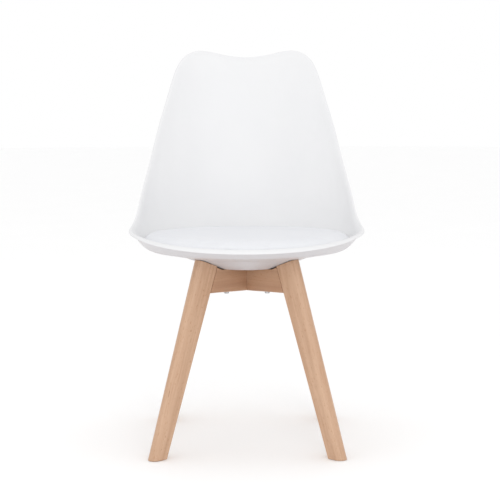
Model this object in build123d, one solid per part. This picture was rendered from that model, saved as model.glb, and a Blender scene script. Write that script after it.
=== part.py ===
from build123d import *
import os
from math import atan2, cos, degrees, hypot, pi, radians, sin

import numpy as np

os.makedirs("parts", exist_ok=True)

# A dining chair: a moulded polypropylene bucket shell with a padded seat, on a crossed beech frame.
# Millimetres, +Z up, the chair faces -Y, and left is -X. The origin is on the floor, under the middle
# of the chair's overall width and depth.

# ---- overall sizes ----
overall_width = 491.0       # across the two tips of the arms' ears
overall_depth = 507.0       # from the front lip to the rearmost point of the backrest
overall_height = 815.0      # floor to the two lobes of the backrest
frame_forward = 28.5        # the leg frame's centre lies this far in front of the origin

# ---- shell: wall, boss and pan ----
wall = 4.5                  # wall thickness of the moulding
boss_radius = 76.0          # flat round boss that sits on the crossed rails
boss_z = 366.0              # underside of the boss
pan_mid_radius = 139.0      # where the cone of the underside eases off
pan_mid_z = 390.0           # underside there
pan_edge_z = 402.0          # underside at the edge of the pan, where the wall begins
pan_half_width = 200.0
pan_front_reach = 190.0     # from the leg frame's centre to the pan's front edge
pan_rear_reach = 150.0      # and to its rear edge
waist_behind = 20.0         # the bucket is widest this far behind the leg frame's centre

# ---- shell: rim ----
lip_front_z = 427.5         # height of the front lip's crest, before it is rounded
ear_z = 436.5               # the same at the ear tips
shoulder_drop = 20.0        # the backrest's upper corners are this far below its top
dip = 16.5                  # the top edge dips this far between the lobes
lip_turn = 15.0             # length of the turned-out lip at the front
ear_turn = 9.0              # at the ears
edge_turn = 5.5             # and along the wings and the top

# ---- cushion ----
cushion_gap = 1.2           # between the cushion's flank and the shell
flank_z = 419.0             # height of the widest line of the flank
crown_z = 434.0             # top of the crown
cover_thickness = 1.2
board_thickness = 8.0
board_z = 408.5             # underside of the board
board_share = 0.84          # the board's size beside the cushion's widest line

# ---- legs and rails ----
timber = 27.6               # thickness of legs and rails
leg_foot_reach = 274.4      # outer edge of the foot from the frame's centre, along the diagonal
leg_foot_width = 34.9
leg_top_reach = 142.9       # outer edge of the leg at the top
leg_knee_reach = 117.7      # inner edge of the leg where the rail's underside meets it
knee_z = 321.0
rail_belly = 4.5            # the rail's underside falls this much to the middle
shell_gap = 3.2             # between the timber and the shell, outside the boss
edge_easing = 2.0
lap_gap = 0.5

# ---- dowels ----
dowel_diameter = 8.0
dowel_length = 36.0
dowel_spacing = 26.0
dowel_gap = 0.1             # round the dowel, and at each end of it

# ---- bolts, washers and inserts ----
bolt_offset = 42.0          # bolts stand this far from the frame's centre, both ways
bolt_diameter = 6.0
bolt_length = 60.0
bolt_gap = 0.6
head_diameter = 10.5
head_height = 3.3
key_size = 4.0
key_depth = 2.0
washer_diameter = 12.5
washer_thickness = 1.2
spring_diameter = 10.8
spring_thickness = 1.3
spring_split = 1.0
spot_depth = 0.8            # spot face under each flat washer
insert_diameter = 9.0
insert_length = 13.0
insert_depth = 2.0          # the insert starts this far above the boss's underside
insert_gap = 0.1
post_wall = 3.5             # wall of the moulded posts round the inserts
post_rise = 2.0             # the posts end this far above the inserts

# ---- screws that hold the cushion ----
screw_reach = 52.0          # from the frame's centre, between the rails
screw_diameter = 4.0
screw_length = 43.0
screw_head_diameter = 8.0
screw_head_height = 2.4
screw_gap = 0.3
screw_depth = 3.0           # the heads' seats are this far above the boss's underside
screw_post_diameter = 13.0

# ---- glides ----
glide_diameter = 18.0
glide_thickness = 4.0
glide_proud = 1.0           # how far a glide stands below the foot
glide_gap = 0.2
nail_diameter = 2.5
nail_length = 15.0
nail_head_diameter = 6.0
nail_head_height = 1.0
nail_recess = 1.2           # the nail's head is this far up inside the glide

# ---- places that follow from these ----
frame_y = -frame_forward
edge_radius = wall / 2
half = 15                   # stations along each half of the rim
stations = np.arange(2 * half) / half


def unit(vectors):
    return vectors / np.linalg.norm(vectors, axis=-1, keepdims=True)


def spline(keys, values, at):
    """Natural cubic through values at increasing keys, evaluated at any array of places."""
    keys, values, at = np.array(keys, float), np.array(values, float), np.asarray(at, float)
    count = len(keys)
    gap = np.diff(keys)
    rise = np.diff(values) / gap
    system = np.eye(count)
    target = np.zeros(count)
    for i in range(1, count - 1):
        system[i, i - 1:i + 2] = gap[i - 1], 2 * (gap[i - 1] + gap[i]), gap[i]
        target[i] = 6 * (rise[i] - rise[i - 1])
    bend = np.linalg.solve(system, target)
    i = np.clip(np.searchsorted(keys, at, side="right") - 1, 0, count - 2)
    h, a, b = gap[i], at - keys[i], keys[i + 1] - at
    return ((bend[i] * b**3 + bend[i + 1] * a**3) / (6 * h)
            + (values[i] / h - bend[i] * h / 6) * b + (values[i + 1] / h - bend[i + 1] * h / 6) * a)


def round_rim(keys, values, odd=False):
    """Values given from the front (0) to the back (1) of one side, at every station round the rim.

    The other side mirrors them. An odd quantity, such as a sideways place, changes sign there.
    """
    sign = -1.0 if odd else 1.0
    keys, values = list(keys), list(values)
    before = [-k for k in keys[:0:-1]], [sign * v for v in values[:0:-1]]
    after = [2 - k for k in keys[-2::-1]], [sign * v for v in values[-2::-1]]
    beyond = [2 + k for k in keys[1:]], values[1:]
    return spline(before[0] + keys + after[0] + beyond[0],
                  before[1] + values + after[1] + beyond[1], stations)


def round_angle(keys, degrees_at):
    """An angle that grows from 0 at the front to 180 degrees at the back, in radians at every station."""
    drift = round_rim(keys, [radians(a) - pi * k for a, k in zip(degrees_at, keys)], odd=True)
    return drift + pi * stations


# ---- the bucket's wall: a stack of level superellipses, all sharing one curve of climb ----
# climb runs from 0 at the pan's edge to 1 at the top of the backrest; the backrest's middle line is a
# cubic curve through these four points, (distance behind the frame's centre, height)
pan_z = pan_edge_z + edge_radius
back_line = [(pan_rear_reach, pan_z), (pan_rear_reach + 57.0, pan_z), (226.0, 559.0),
             (overall_depth / 2 + frame_forward - edge_radius - 1.0, overall_height - 12.0)]
climb_keys = [0.0, 0.10, 0.20, 0.27, 0.35, 0.50, 0.65, 0.80, 0.90, 1.05]
flare = overall_width / 2 - edge_radius - ear_turn - pan_half_width
half_widths = [pan_half_width + share * flare
               for share in (0, 0.351, 0.747, 0.999, 1.157, 1.142, 0.820, 0.381, 0.059, -0.395)]
back_depths = [pan_rear_reach - waist_behind + d for d in (0, 10, 21, 29, 34, 26, -10, -36, -45, -50)]
front_flare = overall_depth / 2 - frame_forward - edge_radius - 0.74 * lip_turn - pan_front_reach
front_reaches = [pan_front_reach + share * front_flare
                 for share in (0, 0.462, 0.923, 1.20, 1.385, 1.57, 1.66, 1.66, 1.66, 1.66)]
corner_power = 2 / 2.2      # a little squarer than an ellipse


def cubic(values, u):
    a, b, c, d = values
    v = 1 - u
    return v**3 * a + 3 * v * v * u * b + 3 * v * u * u * c + u**3 * d


def wall_point(angle, climb):
    """Points of the wall's middle surface, at plan angles from the front and shares of the climb."""
    width = spline(climb_keys, half_widths, climb)
    back = spline(climb_keys, back_depths, climb)
    waist = cubic([p[0] for p in back_line], climb) - back
    front = spline(climb_keys, front_reaches, climb) + waist
    s, c = np.sin(angle), np.cos(angle)
    x = width * np.sign(s) * np.abs(s)**corner_power
    y = frame_y + waist - np.where(c > 0, front, back) * np.sign(c) * np.abs(c)**corner_power
    return np.stack([x, y, cubic([p[1] for p in back_line], climb)], axis=-1)


def climb_at(heights):
    shares = np.linspace(0, 1.2, 601)
    return np.interp(heights, cubic([p[1] for p in back_line], shares), shares)


# ---- the rim, by stations from the front lip round an ear and up the wing to the middle of the top ----
rim_keys = [0.0, 0.13, 0.25, 0.335, 0.375, 0.42, 0.49, 0.57, 0.65, 0.72, 0.78, 0.82, 0.87, 1.0]
rim_plan = [0, 34, 62, 82, 91.5, 103, 111, 117.5, 121, 126.3, 132, 138, 149.5, 180]
foot_plan = [0, 34, 62, 82, 93, 104, 117, 129, 140, 149, 155, 160, 166, 180]
top_z = overall_height - edge_radius
wing_rise = top_z - shoulder_drop - ear_z
rim_height = ([lip_front_z + share * (ear_z - lip_front_z) for share in (0, 0.38, 1.0, 1.10)]
              + [ear_z + share * wing_rise for share in (0, 0.028, 0.115, 0.305, 0.535, 0.75, 0.925)]
              + [top_z - 0.75 * shoulder_drop, top_z - edge_turn + 1, top_z - edge_turn + 1 - dip + 2])
turn_keys = [0.0, 0.13, 0.25, 0.335, 0.375, 0.42, 0.49, 0.57, 1.0]
turn_angle = [112, 105, 84, 62, 48, 30, 18, 14, 14]
turn_length = [lip_turn, 0.93 * lip_turn, 0.77 * lip_turn, 1.08 * ear_turn, ear_turn,
               0.85 * ear_turn, 1.1 * edge_turn, edge_turn, edge_turn]


def wall_rings():
    """Rings of the wall's middle surface, from the boss out over the pan and up the wall to the edge."""
    plan = round_angle(rim_keys, rim_plan)
    foot = round_angle(rim_keys, foot_plan)
    climb = climb_at(round_rim(rim_keys, rim_height))
    step = 1e-3
    crest = wall_point(plan, climb)
    sideways = wall_point(plan + step, climb) - wall_point(plan - step, climb)
    upwards = wall_point(plan, climb + step) - wall_point(plan, climb - step)
    outward = unit(np.cross(sideways, upwards))
    ahead = unit(np.roll(crest, -1, axis=0) - np.roll(crest, 1, axis=0))
    up_wall = unit(np.cross(outward, ahead))
    turn = np.radians(round_rim(turn_keys, turn_angle))[:, None]
    length = round_rim(turn_keys, turn_length)[:, None]
    edge = crest + length * (np.cos(turn) * up_wall + np.sin(turn) * outward)

    pan_edge = wall_point(foot, np.zeros(len(foot)))
    circle = np.stack([np.sin(foot), -np.cos(foot)], axis=1)
    centre = np.array([0.0, frame_y])
    floor_z = boss_z + edge_radius
    mid_share = (pan_mid_radius - boss_radius) / (pan_half_width - boss_radius)
    rings = [np.column_stack([centre + (boss_radius - 6) * circle, np.full(len(foot), floor_z)])]
    for share in (0.0, 0.07, 0.28, mid_share, 0.75, 0.90):
        place = centre + boss_radius * circle
        place = place + share * (pan_edge[:, :2] - place)
        height = np.interp(share, [0, mid_share, 1], [boss_z, pan_mid_z, pan_edge_z])
        rings.append(np.column_stack([place, np.full(len(foot), height + edge_radius)]))
    height = np.linalg.norm(crest - pan_edge, axis=1)
    straight = 1 - 0.8 * length[:, 0] / height
    for u in np.linspace(0, 1, 21):
        rings.append(wall_point(foot + u * straight * (plan - foot), u * straight * climb))
    top = rings[-1]
    for u in np.linspace(0, 1, 8)[1:]:
        v = 1 - u
        rings.append(v * v * top + 2 * v * u * crest + u * u * edge)
    return rings


def wall_normals(rings):
    """Unit directions from the seat side of the wall to its outside, at every point of the rings."""
    grid = np.array(rings)
    across = np.empty_like(grid)
    across[1:-1] = unit(grid[2:] - grid[1:-1]) + unit(grid[1:-1] - grid[:-2])
    across[0] = grid[1] - grid[0]
    across[-1] = grid[-1] - grid[-2]
    ahead = np.roll(grid, -1, axis=1) - np.roll(grid, 1, axis=1)
    normals = unit(np.cross(ahead, across))
    normals[0] = (0, 0, -1)
    return normals, unit(across[-1])


def ring_wire(points):
    knots = [float(s) for s in stations] + [2.0]
    return Wire([Edge.make_spline([Vector(*map(float, p)) for p in points], periodic=True, parameters=knots)])


def corners(x, y):
    """The four places (x, y) about the leg frame's centre."""
    return [(i * x, j * y + frame_y) for i in (-1, 1) for j in (-1, 1)]


def rod(x, y, low, high, diameter):
    return Pos(x, y, low) * Cylinder(diameter / 2, high - low, align=(Align.CENTER, Align.CENTER, Align.MIN))


bolt_places = corners(bolt_offset, bolt_offset)
screw_places = [(screw_reach, frame_y), (-screw_reach, frame_y),
                (0, frame_y + screw_reach), (0, frame_y - screw_reach)]
insert_low = boss_z + insert_depth
insert_high = insert_low + insert_length
post_top = insert_high + post_rise
screw_seat_z = boss_z + screw_depth
cushion_low = board_z - cover_thickness


def make_boss(outline):
    """The flat middle of the shell, with its posts, from the outline that the wall starts on."""
    boss = extrude(make_face(outline), amount=wall, dir=(0, 0, 1))
    for x, y in bolt_places:
        boss += rod(x, y, boss_z + wall / 2, post_top, insert_diameter + 2 * post_wall)
    for x, y in screw_places:
        boss += rod(x, y, boss_z + wall / 2, cushion_low, screw_post_diameter)
    for x, y in bolt_places:
        boss -= rod(x, y, boss_z - 1, insert_low, bolt_diameter + bolt_gap)
        boss -= rod(x, y, insert_low, post_top + 1, insert_diameter + insert_gap)
    for x, y in screw_places:
        boss -= rod(x, y, boss_z - 1, screw_seat_z, screw_head_diameter + 2 * screw_gap)
        boss -= rod(x, y, boss_z, cushion_low + 1, screw_diameter + screw_gap)
    return boss


def make_seat_shell():
    """The wall is one skin round inside, rim and outside; the boss closes it in the middle."""
    rings = wall_rings()
    normals, over_edge = wall_normals(rings)
    inner = [ring - edge_radius * n for ring, n in zip(rings, normals)]
    outer = [ring + edge_radius * n for ring, n in zip(rings, normals)]
    turn = []
    for angle in (-54, -18, 18, 54):
        a = radians(angle)
        turn.append(rings[-1] + edge_radius * (sin(a) * normals[-1] + cos(a) * over_edge))
    wires = [ring_wire(ring) for ring in inner + turn + outer[::-1]]
    skin = Shell.make_loft(wires, ruled=True)
    boss = make_boss(wires[-1])
    boss_faces = [f for f in boss.faces() if f.geom_type in (GeomType.PLANE, GeomType.CYLINDER)]
    return Solid(Shell(Face.sew_faces(boss_faces + list(skin.faces()))[0]))


# ---- the cushion: rings scaled from its widest line, which follows the shell's wall ----

def seat_outline(height, gap):
    """The seat side of the wall in plan at one height, and this gap inside it."""
    angles = pi * stations
    climb = climb_at(np.full(len(angles), height))
    step = 1e-3
    ahead = wall_point(angles + step, climb) - wall_point(angles - step, climb)
    upwards = wall_point(angles, climb + step) - wall_point(angles, climb - step)
    outward = unit(np.cross(ahead, upwards))[:, :2]
    level = np.linalg.norm(outward, axis=1, keepdims=True)
    return wall_point(angles, climb)[:, :2] - (edge_radius / level + gap) * outward / level


def flank_outline():
    """The cushion's widest line in plan."""
    return seat_outline(flank_z, cushion_gap)


def cushion_rings(inset, low):
    """Rings of the cushion's outside, or of a surface inset from it, from its underside to its crown.

    Up to its widest line the flank follows the shell's wall; above it the crown is scaled from that line.
    """
    flank = flank_outline()
    middle = (flank.max(axis=0) + flank.min(axis=0)) / 2
    shrink = inset / (flank[:, 0].max() - middle[0])
    upper = crown_z - flank_z - inset
    rings = []
    for fall, tuck in ((1.0, 5.0), (0.72, 2.2), (0.4, 0.8)):
        height = flank_z - fall * (flank_z - low)
        plan = seat_outline(height, cushion_gap + tuck + inset)
        rings.append(np.column_stack([plan, np.full(len(plan), height)]))
    for share, rise in ((1.0, 0.0), (0.985, 0.45), (0.94, 0.68), (0.80, 0.87), (0.50, 0.98), (0.20, 1.0)):
        plan = middle + (share - shrink) * (flank - middle)
        rings.append(np.column_stack([plan, np.full(len(plan), flank_z + rise * upper)]))
    return rings


def scaled_flank(share, height):
    flank = flank_outline()
    middle = (flank.max(axis=0) + flank.min(axis=0)) / 2
    return np.column_stack([middle + share * (flank - middle), np.full(len(flank), height)])


def make_board():
    outline = make_face(ring_wire(scaled_flank(board_share, board_z)))
    board = extrude(outline, amount=board_thickness, dir=(0, 0, 1))
    for x, y in screw_places:
        board -= rod(x, y, board_z - 1, screw_seat_z + screw_length + 0.5, screw_diameter)
    return board


def make_foam():
    foam_low = board_z + board_thickness
    rings = cushion_rings(2 * cover_thickness, foam_low)
    return Solid.make_loft([ring_wire(r) for r in rings], ruled=True)


def make_cover():
    """One skin over the foam and round under the board's edge, where it is stapled."""
    outside = cushion_rings(0.0, cushion_low)
    inside = cushion_rings(cover_thickness, board_z)
    hem = [scaled_flank(0.77, cushion_low), scaled_flank(0.74, cushion_low + 0.3 * cover_thickness),
           scaled_flank(0.74, cushion_low + 0.7 * cover_thickness), scaled_flank(0.77, board_z)]
    stack = outside[::-1] + hem + inside
    return Solid.make_loft([ring_wire(r) for r in stack], ruled=True)


# ---- legs and rails, drawn in the vertical plane of a diagonal: reach from the centre, and height ----
leg_angles = {"rear_right": 45, "rear_left": 135, "front_left": 225, "front_right": 315}
inner_slope = (leg_foot_reach - leg_foot_width - leg_knee_reach) / knee_z
cone_slope = (pan_mid_z - boss_z) / (pan_mid_radius - boss_radius)
outer_top_z = boss_z + cone_slope * (leg_top_reach - boss_radius) - shell_gap


def inner_reach(height):
    """Reach of the leg's inner edge, which is also the joint with the rail."""
    return leg_knee_reach - inner_slope * (height - knee_z)


def timber_top(reach):
    return boss_z + max(0.0, cone_slope * (reach - boss_radius) - shell_gap)


joint_top_z = (timber_top(leg_knee_reach - inner_slope * (timber_top(95.0) - knee_z)))
joint_top = (inner_reach(joint_top_z), joint_top_z)
joint_length = hypot(joint_top[0] - leg_knee_reach, joint_top_z - knee_z)
joint_along = ((joint_top[0] - leg_knee_reach) / joint_length, (joint_top_z - knee_z) / joint_length)
joint_middle = ((joint_top[0] + leg_knee_reach) / 2, (joint_top_z + knee_z) / 2)
joint_angle = degrees(atan2(-joint_along[0], joint_along[1]))


def upright_face(points):
    return make_face(Plane.XZ * Polyline(*points, close=True))


def on_diagonal(shape, angle):
    return Pos(0, frame_y, 0) * Rot(0, 0, angle) * shape


def dowel_rods(diameter, length):
    """The two dowels of a joint, square to its line, in the plane of the diagonal."""
    rods = []
    for side in (-1, 1):
        x = joint_middle[0] + side * dowel_spacing / 2 * joint_along[0]
        z = joint_middle[1] + side * dowel_spacing / 2 * joint_along[1]
        rods.append(Pos(x, 0, z) * Rot(0, 90 - joint_angle, 0) * Cylinder(diameter / 2, length))
    return rods


def foot_middle():
    """Reach of the middle of the foot."""
    return leg_foot_reach - leg_foot_width / 2


def make_leg(angle):
    lean_x, lean_z = leg_top_reach - leg_foot_reach, outer_top_z
    length = hypot(lean_x, lean_z)
    radius = timber / 2
    shift = radius * length / lean_z
    beyond = 30.0

    def axis_reach(height):
        return leg_foot_reach - shift + lean_x * height / lean_z

    low, high = -beyond, outer_top_z + beyond
    slab = extrude(upright_face([(inner_reach(low), low), (axis_reach(low), low),
                                 (axis_reach(high), high), (inner_reach(high), high)]), timber / 2, both=True)
    inner_edges = [e for e in slab.edges()
                   if e.length > knee_z and e.center().X < axis_reach(e.center().Z) - 5]
    slab = fillet(inner_edges, edge_easing)
    lean = degrees(atan2(lean_x, lean_z))
    middle = (low + high) / 2
    nose = Pos(axis_reach(middle), 0, middle) * Rot(0, lean, 0) * Cylinder(radius, length + 2 * beyond)
    reach = leg_foot_reach + beyond
    trim = extrude(upright_face([(0, glide_proud), (reach, glide_proud), (reach, timber_top(reach)),
                                 (boss_radius, timber_top(boss_radius + 6)), (0, boss_z)]), timber, both=True)
    leg = (slab + nose) & trim
    for hole in dowel_rods(dowel_diameter + dowel_gap, dowel_length + 2 * dowel_gap):
        leg -= hole
    seat_z = glide_thickness
    leg -= rod(foot_middle(), 0, -1, seat_z, glide_diameter + glide_gap)
    leg -= rod(foot_middle(), 0, seat_z - 1, nail_recess + nail_head_height + nail_length, nail_diameter)
    return on_diagonal(leg, angle)


def make_rail(angle, notch_from_top):
    reach, middle_z = leg_knee_reach, knee_z - rail_belly
    part_way_z = knee_z - 0.55 * rail_belly
    flat_reach = boss_radius + shell_gap / cone_slope
    under = Spline((-reach, knee_z), (-reach / 2, part_way_z), (0, middle_z),
                   (reach / 2, part_way_z), (reach, knee_z))
    over = Polyline((reach, knee_z), joint_top, (flat_reach, boss_z), (-flat_reach, boss_z),
                    (-joint_top[0], joint_top_z), (-reach, knee_z))
    rail = extrude(make_face(Plane.XZ * (under + over)), timber / 2, both=True)
    under_edges = [e for e in rail.edges() if e.length > reach and e.center().Z < knee_z]
    rail = fillet(under_edges, edge_easing)
    lap_z = (middle_z + boss_z) / 2
    notch = Box(timber + lap_gap, 2 * timber, boss_z, align=(Align.CENTER, Align.CENTER, Align.MIN))
    rail -= Pos(0, 0, lap_z if notch_from_top else lap_z - boss_z) * notch
    for turn in (0, 180):
        for hole in dowel_rods(dowel_diameter + dowel_gap, dowel_length + 2 * dowel_gap):
            rail -= Rot(0, 0, turn) * hole
    for side in (-1, 1):
        x = side * bolt_offset * 2**0.5
        rail -= rod(x, 0, knee_z - 10, boss_z + 1, bolt_diameter + bolt_gap)
        rail -= rod(x, 0, knee_z - 10, washer_top_z, washer_diameter + 1)
    return on_diagonal(rail, angle)


washer_top_z = knee_z - 0.5 * rail_belly + spot_depth
spring_top_z = washer_top_z - washer_thickness
head_top_z = spring_top_z - spring_thickness


def joined(shapes):
    return Compound(children=[s.solid() if hasattr(s, "solid") else s for s in shapes])


def make_bolt(x, y):
    head = fillet(rod(0, 0, -head_height, 0, head_diameter).edges().group_by(Axis.Z)[0], head_height * 0.45)
    socket = Pos(0, 0, -head_height) * extrude(RegularPolygon(key_size / 2, 6, major_radius=False), key_depth)
    bolt = head - socket + rod(0, 0, 0, bolt_length, bolt_diameter - 0.1)
    return Pos(x, y, head_top_z) * bolt


def make_washer(x, y, top, diameter, thickness, split=0.0):
    washer = rod(x, y, top - thickness, top, diameter) - rod(x, y, top - thickness, top, bolt_diameter + 0.3)
    if split:
        washer -= Pos(x + diameter / 2, y, top) * Rot(25, 0, 0) * Box(diameter, split, 4 * thickness)
    return washer


def make_insert(x, y):
    insert = rod(x, y, insert_low, insert_high, insert_diameter)
    return insert - rod(x, y, insert_low, insert_high, bolt_diameter + 0.1)


def make_screw(x, y):
    head = rod(0, 0, -screw_head_height, 0, screw_head_diameter)
    head = fillet(head.edges().group_by(Axis.Z)[0], screw_head_height * 0.6)
    slot = Pos(0, 0, -screw_head_height) * (Box(4.2, 1, 2.4) + Box(1, 4.2, 2.4))
    return Pos(x, y, screw_seat_z) * (head - slot + rod(0, 0, 0, screw_length, screw_diameter))


def make_glide(x, y):
    glide = fillet(rod(0, 0, 0, glide_thickness, glide_diameter).edges().group_by(Axis.Z)[0], 0.6)
    glide -= rod(0, 0, -1, nail_recess + nail_head_height, nail_head_diameter + glide_gap)
    glide -= rod(0, 0, 0, glide_thickness, nail_diameter + glide_gap)
    return Pos(x, y, 0) * glide


def make_nail(x, y):
    top = nail_recess + nail_head_height
    return rod(x, y, nail_recess, top, nail_head_diameter) + rod(x, y, top, top + nail_length, nail_diameter)


def build():
    """Every node's name and shape."""
    nodes = {"seat_shell": make_seat_shell()}
    nodes["cushion_board"] = make_board()
    nodes["cushion_foam"] = make_foam()
    nodes["cushion_cover"] = make_cover()
    nodes["cushion_screws"] = joined(make_screw(x, y) for x, y in screw_places)
    for name, angle in leg_angles.items():
        nodes["leg_" + name] = make_leg(angle)
    nodes["cross_rail_lower"] = make_rail(leg_angles["rear_right"], notch_from_top=True)
    nodes["cross_rail_upper"] = make_rail(leg_angles["rear_left"], notch_from_top=False)
    nodes["dowels"] = joined(on_diagonal(d, angle) for angle in leg_angles.values()
                             for d in dowel_rods(dowel_diameter, dowel_length))
    nodes["frame_bolts"] = joined(make_bolt(x, y) for x, y in bolt_places)
    nodes["flat_washers"] = joined(
        make_washer(x, y, washer_top_z, washer_diameter, washer_thickness) for x, y in bolt_places)
    nodes["spring_washers"] = joined(
        make_washer(x, y, spring_top_z, spring_diameter, spring_thickness, spring_split)
        for x, y in bolt_places)
    nodes["threaded_inserts"] = joined(make_insert(x, y) for x, y in bolt_places)
    feet = []
    for name, angle in leg_angles.items():
        x = foot_middle() * cos(radians(angle))
        y = foot_middle() * sin(radians(angle)) + frame_y
        feet.append((x, y))
        nodes["glide_" + name] = make_glide(x, y)
    nodes["glide_nails"] = joined(make_nail(x, y) for x, y in feet)
    return nodes


def main():
    for name, shape in build().items():
        assert shape.is_valid, name
        export_step(shape, f"parts/{name}.step")


if __name__ == "__main__":
    main()
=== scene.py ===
"""A dining chair: a moulded white bucket shell with a padded seat, on splayed beech legs."""
import logging
from dataclasses import dataclass, field
from enum import Enum
from math import cos, pi, radians, sin

import bmesh
import bpy
from mathutils import Euler, Matrix, Vector


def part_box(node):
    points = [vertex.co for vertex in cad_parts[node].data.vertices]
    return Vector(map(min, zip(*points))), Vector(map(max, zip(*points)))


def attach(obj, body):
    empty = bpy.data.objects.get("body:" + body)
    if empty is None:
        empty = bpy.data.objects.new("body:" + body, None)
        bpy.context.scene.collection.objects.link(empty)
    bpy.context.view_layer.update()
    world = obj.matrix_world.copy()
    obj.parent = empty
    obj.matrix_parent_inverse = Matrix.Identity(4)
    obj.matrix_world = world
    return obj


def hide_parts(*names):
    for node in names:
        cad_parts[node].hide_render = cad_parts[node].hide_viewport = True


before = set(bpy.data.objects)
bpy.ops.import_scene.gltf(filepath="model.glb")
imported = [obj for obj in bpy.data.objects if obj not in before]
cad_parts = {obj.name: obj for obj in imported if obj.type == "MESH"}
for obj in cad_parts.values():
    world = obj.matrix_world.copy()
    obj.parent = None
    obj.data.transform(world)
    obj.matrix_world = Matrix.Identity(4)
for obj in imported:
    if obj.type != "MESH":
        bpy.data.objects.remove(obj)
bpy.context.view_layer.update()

log = logging.getLogger("chair")
Colour = tuple[float, float, float, float]
Spot = tuple[float, float, float, float]  # a place, then a knot's radius or a streak's half length
MERGE_DISTANCE = 2e-6
SENSOR_WIDTH = 36.0


def rgb(red: float, green: float, blue: float) -> Colour:
    """An opaque linear colour."""
    return (red, green, blue, 1.0)


# ---------------------------------------------------------------- shader building

class Wire:
    """An output socket that does arithmetic by adding Math nodes to its material."""

    def __init__(self, graph: "Graph", socket: bpy.types.NodeSocket) -> None:
        """Wraps one output socket of a graph."""
        self.graph = graph
        self.socket = socket

    def _math(self, operation: str, first: "Wire | float", second: "Wire | float") -> "Wire":
        """One Math node on two values."""
        return self.graph.node("ShaderNodeMath", {"operation": operation}, {0: first, 1: second})

    def __add__(self, other: "Wire | float") -> "Wire":
        """self + other."""
        return self._math("ADD", self, other)

    def __radd__(self, other: float) -> "Wire":
        """other + self."""
        return self._math("ADD", other, self)

    def __sub__(self, other: "Wire | float") -> "Wire":
        """self - other."""
        return self._math("SUBTRACT", self, other)

    def __rsub__(self, other: float) -> "Wire":
        """other - self."""
        return self._math("SUBTRACT", other, self)

    def __mul__(self, other: "Wire | float") -> "Wire":
        """self * other."""
        return self._math("MULTIPLY", self, other)

    def __rmul__(self, other: float) -> "Wire":
        """other * self."""
        return self._math("MULTIPLY", other, self)

    def __pow__(self, other: float) -> "Wire":
        """self raised to a power."""
        return self._math("POWER", self, other)

    def __abs__(self) -> "Wire":
        """The size of self."""
        return self._math("ABSOLUTE", self, 0.0)


Value = Wire | float | Colour | tuple[float, float, float]


class Graph:
    """The node tree of one material, with its one shader."""

    def __init__(self, name: str) -> None:
        """Starts an empty material of that name.

        Args:
            name: the material's name.
        """
        self.material = bpy.data.materials.new(name)
        self.material.use_nodes = True
        self.tree = self.material.node_tree
        self.tree.nodes.clear()
        self.place = self.node("ShaderNodeTexCoord", {}, {}, "Object")

    def add(self, kind: str, settings: dict[str, object],
            inputs: dict[str | int, Value]) -> bpy.types.Node:
        """Adds one node, sets it, and then fills or links its sockets.

        Args:
            kind: the node's type.
            settings: its properties.
            inputs: values or wires for its sockets.

        Returns:
            The new node.
        """
        made = self.tree.nodes.new(kind)
        for key, value in settings.items():
            setattr(made, key, value)
        for key, value in inputs.items():
            if isinstance(value, Wire):
                self.tree.links.new(value.socket, made.inputs[key])
            else:
                made.inputs[key].default_value = value
        return made

    def node(self, kind: str, settings: dict[str, object], inputs: dict[str | int, Value],
             output: str | int = 0) -> Wire:
        """Adds one node and returns the wire from one of its outputs."""
        return Wire(self, self.add(kind, settings, inputs).outputs[output])

    def noise(self, at: Wire, scale: float, detail: float = 2.0, roughness: float = 0.5,
              stretch: tuple[float, float, float] = (1.0, 1.0, 1.0)) -> Wire:
        """Noise from 0 to 1, stretched along the axes."""
        spread = self.node("ShaderNodeMapping", {}, {"Vector": at, "Scale": stretch})
        return self.node("ShaderNodeTexNoise", {},
                         {"Vector": spread, "Scale": scale, "Detail": detail, "Roughness": roughness})

    def ramp(self, factor: Wire, low: float, high: float) -> Wire:
        """A smooth step from 0 at low to 1 at high."""
        return self.node("ShaderNodeMapRange", {"interpolation_type": "SMOOTHSTEP"},
                         {"Value": factor, "From Min": low, "From Max": high,
                          "To Min": 0.0, "To Max": 1.0})

    def mix(self, factor: Wire | float, first: Value, second: Value) -> Wire:
        """A blend of two colours."""
        return self.node("ShaderNodeMix", {"data_type": "RGBA"}, {0: factor, 6: first, 7: second}, 2)

    def axis(self, at: Wire, name: str) -> Wire:
        """One coordinate of a vector."""
        return self.node("ShaderNodeSeparateXYZ", {}, {0: at}, name)

    def bump(self, height: Wire, strength: float, distance: float, under: Wire | None = None) -> Wire:
        """A bump on the surface normal.

        Args:
            height: the height that is read, raised above 0 and sunk below it.
            strength: how much of the bump is used.
            distance: what a height of 1 stands for, in metres.
            under: a coarser bump that this one lies on, if there is one.

        Returns:
            The wire of the bent normal.
        """
        inputs: dict[str | int, Value] = {"Height": height, "Strength": strength, "Distance": distance}
        if under is not None:
            inputs["Normal"] = under
        return self.node("ShaderNodeBump", {}, inputs)

    def shade(self, constants: dict[str, Value], varying: dict[str, Wire]) -> bpy.types.Material:
        """Closes the tree with the shader.

        Args:
            constants: socket values that are the same all over.
            varying: wires for the sockets that change over the surface.

        Returns:
            The finished material.
        """
        shader = self.node("ShaderNodeBsdfPrincipled", {}, {**constants, **varying})
        self.add("ShaderNodeOutputMaterial", {}, {"Surface": shader})
        return self.material


# ---------------------------------------------------------------- finishes

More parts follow.
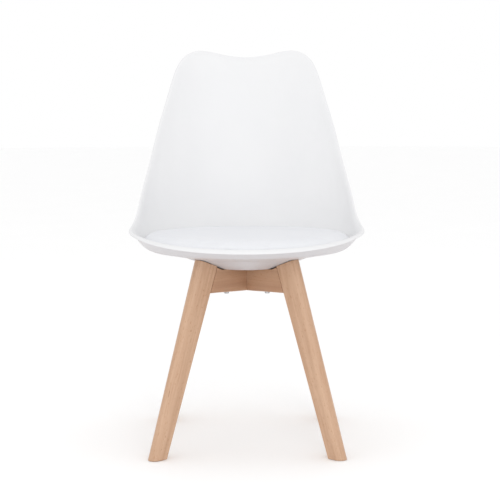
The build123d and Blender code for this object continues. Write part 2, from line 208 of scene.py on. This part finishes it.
@dataclass(frozen=True)
class MouldedShell:
    """White polypropylene with a fine spark texture from its mould; faces turned downwards are greyed
    with painted shade.
    """

    colour: Colour = rgb(0.765, 0.766, 0.774)
    roughness: float = 0.36
    grain_depth: float = 0.00006
    cloudy: Colour = rgb(0.753, 0.755, 0.765)
    # painted shade: the grey that downward-facing faces are blended towards, and how much of it
    underside_painted_shade: Colour = rgb(0.585, 0.565, 0.580)
    underside_shade_share: float = 0.9

    def make(self) -> bpy.types.Material:
        """Builds the material.

        Returns:
            The finished material.
        """
        g = Graph("moulded_shell")
        cloud = g.noise(g.place, 7.0, 3.0)
        spark = g.noise(g.place, 2600.0, 2.0, 0.6)
        flow = g.noise(g.place, 24.0, 3.0, 0.55, (1.0, 1.0, 0.35))
        tint = g.mix(g.ramp(cloud, 0.35, 0.7), self.colour, self.cloudy)
        facing = g.axis(g.node("ShaderNodeNewGeometry", {}, {}, "Normal"), "Z")
        # painted shade: faces turned downwards are blended towards grey
        tint = g.mix(self.underside_shade_share * g.ramp(-1.0 * facing, 0.12, 0.85), tint, self.underside_painted_shade)
        rubbed = g.ramp(g.noise(g.place, 90.0, 5.0, 0.7), 0.56, 0.78)
        rough = self.roughness + 0.05 * cloud + 0.04 * rubbed
        ripple = g.bump(flow, 0.25, 0.0004)
        normal = g.bump(spark, 0.35, self.grain_depth, ripple)
        return g.shade({"IOR": 1.49, "Subsurface Weight": 0.0, "Specular IOR Level": 0.5},
                       {"Base Color": tint, "Roughness": rough, "Normal": normal})


@dataclass(frozen=True)
class Leathercloth:
    """Smooth white coated cloth, pulled over foam, with a sewn seam round its border whose groove is
    darkened with painted shade.
    """

    colour: Colour = rgb(0.750, 0.758, 0.785)
    cloudy: Colour = rgb(0.733, 0.743, 0.774)
    # painted shade: the grey laid into the seam's groove
    groove_painted_shade: Colour = rgb(0.42, 0.42, 0.45)
    thread_tone: Colour = rgb(0.72, 0.73, 0.76)
    seam_z: float = 0.0
    stitch_drop: float = 0.0017
    stitch_count: int = 260
    centre: tuple[float, float] = (0.0, 0.0)

    def make(self) -> bpy.types.Material:
        """Builds the material.

        Returns:
            The finished material.
        """
        g = Graph("leathercloth")
        cell = g.node("ShaderNodeTexVoronoi", {"feature": "DISTANCE_TO_EDGE"},
                      {"Vector": g.place, "Scale": 900.0})
        pebble = g.ramp(cell, 0.0, 0.16)
        soft = g.noise(g.place, 9.0, 4.0)
        creases = g.noise(g.place, 38.0, 4.0, 0.55, (1.0, 2.2, 1.0))
        height = g.axis(g.place, "Z") - self.seam_z
        groove = 1.0 - g.ramp(abs(height), 0.0002, 0.0009)
        x = g.axis(g.place, "X") - self.centre[0]
        y = g.axis(g.place, "Y") - self.centre[1]
        turn = g.node("ShaderNodeMath", {"operation": "ARCTAN2"}, {0: y, 1: x})
        wave = g.node("ShaderNodeMath", {"operation": "SINE"}, {0: turn * float(self.stitch_count)})
        dashes = g.ramp(wave, -0.2, 0.2)
        thread = dashes * (1.0 - g.ramp(abs(height + self.stitch_drop), 0.0002, 0.0006))
        tint = g.mix(g.ramp(soft, 0.35, 0.72), self.colour, self.cloudy)
        # painted shade: the seam's groove is darkened
        tint = g.mix(groove * 0.55, tint, self.groove_painted_shade)
        tint = g.mix(thread * 0.35, tint, self.thread_tone)
        rough = 0.33 + 0.09 * soft + 0.10 * pebble
        low = g.bump(creases, 0.18, 0.0009)
        mid = g.bump(pebble, 0.16, 0.00012, low)
        normal = g.bump(thread - groove, 0.8, 0.0005, mid)
        return g.shade({"IOR": 1.5, "Sheen Weight": 0.08, "Sheen Roughness": 0.4},
                       {"Base Color": tint, "Roughness": rough, "Normal": normal})


@dataclass(frozen=True)
class Beech:
    """Straight-grained beech under clear matt lacquer; the grain runs along one line of the chair."""

    name: str
    along: Vector
    through: Vector
    pale: Colour = rgb(0.600, 0.392, 0.262)
    warm: Colour = rgb(0.500, 0.303, 0.190)
    broad_tone: Colour = rgb(0.545, 0.345, 0.222)
    fleck: Colour = rgb(0.400, 0.205, 0.100)
    pore_tone: Colour = rgb(0.30, 0.15, 0.07)
    knot_tone: Colour = rgb(0.17, 0.075, 0.035)
    streak_tone: Colour = rgb(0.20, 0.09, 0.045)
    knots: tuple[Spot, ...] = ()
    streaks: tuple[Spot, ...] = ()

    def make(self) -> bpy.types.Material:
        """Builds the material.

        Returns:
            The finished material.
        """
        g = Graph(self.name)
        side = self.along.cross(Vector((0, 0, 1))).normalized()
        face = self.along.cross(side).normalized()
        turn = Matrix((self.along, side, face))
        shift = -(turn @ self.through)
        at = g.node("ShaderNodeMapping", {}, {"Vector": g.place, "Location": tuple(shift),
                                              "Rotation": tuple(turn.to_euler("XYZ"))})
        drift = g.node("ShaderNodeTexNoise", {}, {"Vector": at, "Scale": 6.0, "Detail": 2.0}, "Color")
        bend = g.node("ShaderNodeVectorMath", {"operation": "SCALE"}, {0: drift, "Scale": 0.010})
        wavy = g.node("ShaderNodeVectorMath", {"operation": "ADD"}, {0: at, 1: bend})
        bands = g.noise(wavy, 115.0, 3.0, 0.55, (0.045, 1.0, 1.0))
        lines = g.noise(wavy, 520.0, 3.0, 0.6, (0.03, 1.0, 1.0))
        pores = g.noise(at, 1500.0, 2.0, 0.6, (0.05, 1.0, 1.0))
        rays = g.noise(at, 700.0, 1.0, 0.5, (0.22, 1.0, 0.5))
        broad = g.noise(at, 14.0, 2.0, 0.5, (0.2, 1.0, 1.0))
        tint = g.mix(g.ramp(bands, 0.30, 0.72), self.pale, self.warm)
        tint = g.mix(0.45 * g.ramp(broad, 0.40, 0.70), tint, self.broad_tone)
        tint = g.mix(0.40 * g.ramp(lines, 0.50, 0.74), tint, self.fleck)
        tint = g.mix(0.55 * g.ramp(rays, 0.64, 0.74), tint, self.fleck)
        tint = g.mix(0.35 * g.ramp(pores, 0.60, 0.76), tint, self.pore_tone)
        for kx, ky, kz, size in self.knots:
            away = g.node("ShaderNodeVectorMath", {"operation": "DISTANCE"},
                          {0: g.place, 1: (kx, ky, kz)}, "Value")
            ring = 1.0 - g.ramp(away + 0.003 * (lines - 0.5), 0.15 * size, size)
            tint = g.mix(0.75 * ring, tint, self.knot_tone)
        for kx, ky, kz, size in self.streaks:
            off = g.node("ShaderNodeVectorMath", {"operation": "SUBTRACT"},
                         {0: g.place, 1: (kx, ky, kz)})
            lean = g.node("ShaderNodeVectorMath", {"operation": "DOT_PRODUCT"},
                          {0: off, 1: tuple(self.along)}, "Value")
            reach = g.node("ShaderNodeVectorMath", {"operation": "LENGTH"}, {0: off}, "Value")
            wide = (reach * reach - lean * lean) ** 0.5
            mark = (1.0 - g.ramp(wide, 0.0004, 0.0016)) * (1.0 - g.ramp(abs(lean), 0.5 * size, size))
            tint = g.mix(0.7 * mark, tint, self.streak_tone)
        rough = 0.40 + 0.10 * bands + 0.08 * g.ramp(pores, 0.5, 0.8)
        soft = g.bump(lines, 0.22, 0.00025)
        normal = g.bump(g.ramp(pores, 0.55, 0.8), 0.25, 0.00010, soft)
        return g.shade({"IOR": 1.5, "Coat Roughness": 0.35},
                       {"Base Color": tint, "Roughness": rough, "Normal": normal})


@dataclass(frozen=True)
class Plated:
    """Bright zinc, or turned brass: brushed metal with faint tarnish."""

    name: str
    colour: Colour
    tarnish: Colour
    roughness: float = 0.34

    def make(self) -> bpy.types.Material:
        """Builds the material.

        Returns:
            The finished material.
        """
        g = Graph(self.name)
        cloud = g.noise(g.place, 260.0, 4.0, 0.6)
        turned = g.noise(g.place, 1900.0, 2.0, 0.5, (1.0, 1.0, 0.1))
        tint = g.mix(g.ramp(cloud, 0.4, 0.75), self.colour, self.tarnish)
        rough = self.roughness + 0.18 * cloud
        return g.shade({"Metallic": 1.0}, {"Base Color": tint, "Roughness": rough,
                                           "Normal": g.bump(turned, 0.3, 0.00005)})


@dataclass(frozen=True)
class RawStuff:
    """Unseen and lesser surfaces: raw ply, foam, raw dowel or dark moulded plastic."""

    name: str
    colour: Colour
    second: Colour
    roughness: float
    scale: float
    stretch: tuple[float, float, float] = (1.0, 1.0, 1.0)
    depth: float = 0.0001

    def make(self) -> bpy.types.Material:
        """Builds the material.

        Returns:
            The finished material.
        """
        g = Graph(self.name)
        mottle = g.noise(g.place, self.scale, 4.0, 0.6, self.stretch)
        fine = g.noise(g.place, 7.0 * self.scale, 2.0, 0.5, self.stretch)
        tint = g.mix(g.ramp(mottle, 0.35, 0.7), self.colour, self.second)
        rough = self.roughness + 0.1 * fine
        return g.shade({"IOR": 1.48}, {"Base Color": tint, "Roughness": rough,
                                       "Normal": g.bump(fine, 0.4, self.depth)})


# ---------------------------------------------------------------- mesh helpers

def dress(piece: bpy.types.Object, material: bpy.types.Material) -> None:
    """Gives a piece one material all over."""
    piece.data.materials.clear()
    piece.data.materials.append(material)


def copied(node: str, name: str) -> bpy.types.Object:
    """A merged copy of a CAD node, as a new object at the origin.

    Args:
        node: the CAD node.
        name: the new object's name.

    Returns:
        The new object.
    """
    bm = bmesh.new()
    bm.from_mesh(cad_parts[node].data)
    bmesh.ops.remove_doubles(bm, verts=bm.verts, dist=MERGE_DISTANCE)
    mesh = bpy.data.meshes.new(name)
    bm.to_mesh(mesh)
    bm.free()
    piece = bpy.data.objects.new(name, mesh)
    bpy.context.scene.collection.objects.link(piece)
    return piece


def smoothed(piece: bpy.types.Object, crease: float) -> None:
    """Shades a piece smoothly and keeps its sharper edges crisp.

    Args:
        piece: the piece.
        crease: edges sharper than this, in degrees, stay crisp.
    """
    bm = bmesh.new()
    bm.from_mesh(piece.data)
    for face in bm.faces:
        face.smooth = True
    for edge in bm.edges:
        edge.smooth = len(edge.link_faces) == 2 and edge.calc_face_angle(0.0) < radians(crease)
    bm.to_mesh(piece.data)
    bm.free()
    weigh = piece.modifiers.new("weigh", "WEIGHTED_NORMAL")
    weigh.keep_sharp = True


def applied(piece: bpy.types.Object) -> None:
    """Applies all of a piece's modifiers to its mesh.

    Args:
        piece: the piece.
    """
    graph = bpy.context.evaluated_depsgraph_get()
    mesh = bpy.data.meshes.new_from_object(piece.evaluated_get(graph), depsgraph=graph)
    piece.modifiers.clear()
    piece.data = mesh


def stand_in(node: str, name: str, crease: float, material: bpy.types.Material) -> bpy.types.Object:
    """A merged, smooth-shaded copy that stands for a CAD node.

    Args:
        node: the CAD node.
        name: the piece's name.
        crease: edges sharper than this, in degrees, stay crisp.
        material: its material.

    Returns:
        The piece.
    """
    piece = copied(node, name)
    smoothed(piece, crease)
    dress(piece, material)
    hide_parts(node)
    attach(piece, "root")
    log.info("%s: %d faces", name, len(piece.data.polygons))
    return piece


# ---------------------------------------------------------------- sub-assemblies

@dataclass
class SeatShell:
    """The one-piece bucket."""

    crease: float = 38.0

    def build(self) -> None:
        """Makes the shell's visible skin."""
        stand_in("seat_shell", "bucket_shell", self.crease, MouldedShell().make())


@dataclass
class SeatCushion:
    """Foam on a plywood board, under a pulled and sewn cover."""

    voxel: float = 0.005
    inset: float = 0.0022
    swell: float = 0.0040
    pressure: float = 4.0
    frames: int = 20
    seam_drop: float = 0.0155
    held_share: float = 0.25
    ply: RawStuff = RawStuff("raw_ply", rgb(0.52, 0.37, 0.22), rgb(0.43, 0.29, 0.16), 0.7, 60.0,
                             (0.1, 1.0, 1.0))

    def build(self) -> None:
        """Makes the padded cover by simulation, and dresses the unseen insides."""
        low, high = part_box("cushion_cover")
        centre = (low + high) / 2
        piece = self.closed_form(low, high)
        self.inflate(piece, low, high)
        smooth = piece.modifiers.new("round", "SUBSURF")
        smooth.levels = smooth.render_levels = 1
        applied(piece)
        for face in piece.data.polygons:
            face.use_smooth = True
        finish = Leathercloth(seam_z=high.z - self.seam_drop, centre=(centre.x, centre.y))
        dress(piece, finish.make())
        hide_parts("cushion_cover", "cushion_foam")
        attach(piece, "root")
        log.info("seat cushion: %d faces", len(piece.data.polygons))
        dress(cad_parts["cushion_board"], self.ply.make())

    def closed_form(self, low: Vector, high: Vector) -> bpy.types.Object:
        """The cover's outside as one closed form, a little smaller than it ends up.

        Args:
            low: the CAD cover's lowest corner.
            high: its highest corner.

        Returns:
            The remeshed form.
        """
        piece = copied("cushion_cover", "seat_cushion")
        bm = bmesh.new()
        bm.from_mesh(piece.data)
        hull = bmesh.ops.convex_hull(bm, input=bm.verts)
        bmesh.ops.delete(bm, geom=[g for g in hull["geom_interior"] + hull["geom_unused"]
                                   if isinstance(g, bmesh.types.BMVert)], context="VERTS")
        keep = {g for g in hull["geom"] if isinstance(g, bmesh.types.BMFace)}
        bmesh.ops.delete(bm, geom=[f for f in bm.faces if f not in keep], context="FACES_ONLY")
        centre = (low + high) / 2
        share = 1 - self.inset / ((high.x - low.x) / 2)
        bmesh.ops.transform(bm, verts=bm.verts, matrix=Matrix.Translation(centre)
                            @ Matrix.Diagonal((share, share, 1.0, 1.0)) @ Matrix.Translation(-centre))
        bmesh.ops.recalc_face_normals(bm, faces=bm.faces)
        bm.to_mesh(piece.data)
        bm.free()
        remesh = piece.modifiers.new("remesh", "REMESH")
        remesh.mode = "VOXEL"
        remesh.voxel_size = self.voxel
        applied(piece)
        return piece

    def inflate(self, piece: bpy.types.Object, low: Vector, high: Vector) -> None:
        """Blows the cover out with Cloth and caps how far it moves.

        Args:
            piece: the closed form, whose lower part is held still.
            low: the CAD cover's lowest corner.
            high: its highest corner.
        """
        start = [v.co.copy() for v in piece.data.vertices]
        held = piece.vertex_groups.new(name="held")
        for vertex in piece.data.vertices:
            if vertex.co.z < low.z + self.held_share * (high.z - low.z):
                held.add([vertex.index], 1.0, "REPLACE")
        cloth = piece.modifiers.new("cloth", "CLOTH")
        cloth.settings.use_pressure = True
        cloth.settings.uniform_pressure_force = self.pressure
        cloth.settings.effector_weights.gravity = 0.0
        cloth.settings.vertex_group_mass = "held"
        cloth.point_cache.frame_start = 1
        cloth.point_cache.frame_end = self.frames
        for step in range(1, self.frames + 1):
            bpy.context.scene.frame_set(step)
        applied(piece)
        bpy.context.scene.frame_set(1)
        for vertex, place in zip(piece.data.vertices, start):
            move = vertex.co - place
            if move.length > self.swell:
                move *= self.swell / move.length
            aside = Vector((move.x, move.y, 0.0))
            if aside.length > self.inset:
                move -= aside * (1 - self.inset / aside.length)
            vertex.co = place + move


class Corner(Enum):
    """The legs, each with the direction it splays in."""

    REAR_RIGHT = 45.0
    REAR_LEFT = 135.0
    FRONT_LEFT = 225.0
    FRONT_RIGHT = 315.0


KNOTS: dict[Corner, tuple[Spot, ...]] = {
    Corner.FRONT_RIGHT: ((0.0905, -0.1300, 0.3705, 0.0045),)}
STREAKS: dict[Corner, tuple[Spot, ...]] = {
    Corner.FRONT_LEFT: ((-0.1560, -0.1960, 0.1300, 0.0085),)}


@dataclass
class LegFrame:
    """Four splayed legs dowelled to two crossed rails."""

    lean: float = 0.3405
    crease: float = 32.0
    # painted shade: the rails' beech tones are darker than the legs' for their place under the seat
    rail_shaded_pale: Colour = rgb(0.47, 0.275, 0.170)
    rail_shaded_warm: Colour = rgb(0.39, 0.212, 0.125)
    dowel: RawStuff = RawStuff("raw_dowel", rgb(0.62, 0.42, 0.24), rgb(0.54, 0.34, 0.18), 0.65, 400.0)

    def build(self) -> None:
        """Makes and dresses the legs, the rails and their dowels."""
        low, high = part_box("cross_rail_lower")
        crossing = (low + high) / 2
        for corner in Corner:
            name = corner.name.lower()
            turn = radians(corner.value)
            along = Vector((cos(turn) * sin(self.lean), sin(turn) * sin(self.lean), -cos(self.lean)))
            box_low, box_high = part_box("leg_" + name)
            finish = Beech("beech_" + name, along.normalized(), (box_low + box_high) / 2,
                           knots=KNOTS.get(corner, ()), streaks=STREAKS.get(corner, ()))
            stand_in("leg_" + name, "beech_leg_" + name, self.crease, finish.make())
        for node, angle in (("cross_rail_lower", 45.0), ("cross_rail_upper", 135.0)):
            along = Vector((cos(radians(angle)), sin(radians(angle)), 0.0))
            # painted shade: the rails' beech takes the darker tones
            finish = Beech("beech_" + node, along, crossing, pale=self.rail_shaded_pale, warm=self.rail_shaded_warm)
            stand_in(node, "beech_" + node, self.crease, finish.make())
        dress(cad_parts["dowels"], self.dowel.make())


@dataclass
class Hardware:
    """Bolts, washers, inserts, screws, and the glides with their nails."""

    steel: Plated = Plated("zinc_plate", rgb(0.60, 0.61, 0.62), rgb(0.45, 0.45, 0.46))
    brass: Plated = Plated("turned_brass", rgb(0.70, 0.52, 0.24), rgb(0.52, 0.36, 0.15), 0.28)
    plastic: RawStuff = RawStuff("glide_plastic", rgb(0.040, 0.037, 0.034), rgb(0.055, 0.05, 0.047),
                                 0.45, 500.0)
    crease: float = 30.0

    def build(self) -> None:
        """Dresses the fixings and makes the glides' smooth copies."""
        steel = self.steel.make()
        for node in ("frame_bolts", "flat_washers", "spring_washers", "cushion_screws", "glide_nails"):
            stand_in(node, "steel_" + node, self.crease, steel)
        stand_in("threaded_inserts", "brass_inserts", self.crease, self.brass.make())
        plastic = self.plastic.make()
        for corner in Corner:
            node = "glide_" + corner.name.lower()
            stand_in(node, "plastic_" + node, self.crease, plastic)


@dataclass(frozen=True)
class Lamp:
    """One round lamp: its place and size in metres, and its power in watts."""

    name: str
    place: tuple[float, float, float]
    size: float
    power: float


@dataclass
class Studio:
    """The floor, the lights and the camera."""

    camera_place: Vector = field(default_factory=lambda: Vector((-0.00396, -3.0265, 0.7448)))
    yaw: float = 0.0036
    pitch: float = radians(6.588)
    roll: float = -0.003
    lens: float = 104.4
    floor_radius: float = 14.0
    floor_segments: int = 96
    floor_tones: tuple[Colour, Colour] = (rgb(0.975, 0.975, 0.975), rgb(0.99, 0.99, 0.99))
    aimed_at: Vector = field(default_factory=lambda: Vector((0.0, 0.0, 0.42)))
    lamps: tuple[Lamp, ...] = (Lamp("key", (0.5, -3.6, 1.7), 2.0, 23.0),
                               Lamp("fill", (-2.6, -2.6, 1.6), 2.0, 5.0),
                               Lamp("top", (0.0, 0.4, 3.4), 2.6, 4.0))

    def build(self) -> None:
        """Sets up the whole studio."""
        self.floor()
        self.lights()
        self.camera()

    def floor(self) -> None:
        """A pale floor that runs out of sight."""
        bm = bmesh.new()
        bmesh.ops.create_circle(bm, cap_ends=True, segments=self.floor_segments,
                                radius=self.floor_radius)
        mesh = bpy.data.meshes.new("floor")
        bm.to_mesh(mesh)
        bm.free()
        piece = bpy.data.objects.new("floor", mesh)
        bpy.context.scene.collection.objects.link(piece)
        g = Graph("floor")
        grain = g.noise(g.place, 3.0)
        dress(piece, g.shade({"Roughness": 0.9, "Specular IOR Level": 0.1},
                             {"Base Color": g.mix(grain, *self.floor_tones)}))

    def lights(self) -> None:
        """A white world and three large soft lamps."""
        world = bpy.data.worlds.new("studio")
        bpy.context.scene.world = world
        world.use_nodes = True
        back = world.node_tree.nodes["Background"]
        back.inputs["Color"].default_value = rgb(1.0, 1.0, 1.0)
        back.inputs["Strength"].default_value = 1.0
        for plan in self.lamps:
            lamp = bpy.data.lights.new(plan.name, "AREA")
            lamp.shape = "DISK"
            lamp.size = plan.size
            lamp.energy = plan.power
            holder = bpy.data.objects.new(plan.name, lamp)
            bpy.context.scene.collection.objects.link(holder)
            holder.location = plan.place
            aim = self.aimed_at - Vector(plan.place)
            holder.rotation_euler = aim.to_track_quat("-Z", "Y").to_euler()

    def camera(self) -> None:
        """The camera, a little lower than the top of the backrest, looking slightly down."""
        data = bpy.data.cameras.new("camera")
        data.lens = self.lens
        data.sensor_width = SENSOR_WIDTH
        holder = bpy.data.objects.new("camera", data)
        bpy.context.scene.collection.objects.link(holder)
        aim = Euler((pi / 2 - self.pitch, 0.0, -self.yaw), "XYZ").to_matrix()
        turn = aim @ Matrix.Rotation(self.roll, 3, "Z")
        holder.matrix_world = Matrix.Translation(self.camera_place) @ turn.to_4x4()
        bpy.context.scene.camera = holder
        bpy.context.scene.view_settings.view_transform = "Standard"


def main() -> None:
    """Builds every sub-assembly."""
    logging.basicConfig(level=logging.INFO, format="%(name)s %(message)s")
    for part in (SeatShell(), SeatCushion(), LegFrame(), Hardware(), Studio()):
        part.build()
        log.info("%s done", type(part).__name__)


if __name__ == "__main__":
    main()
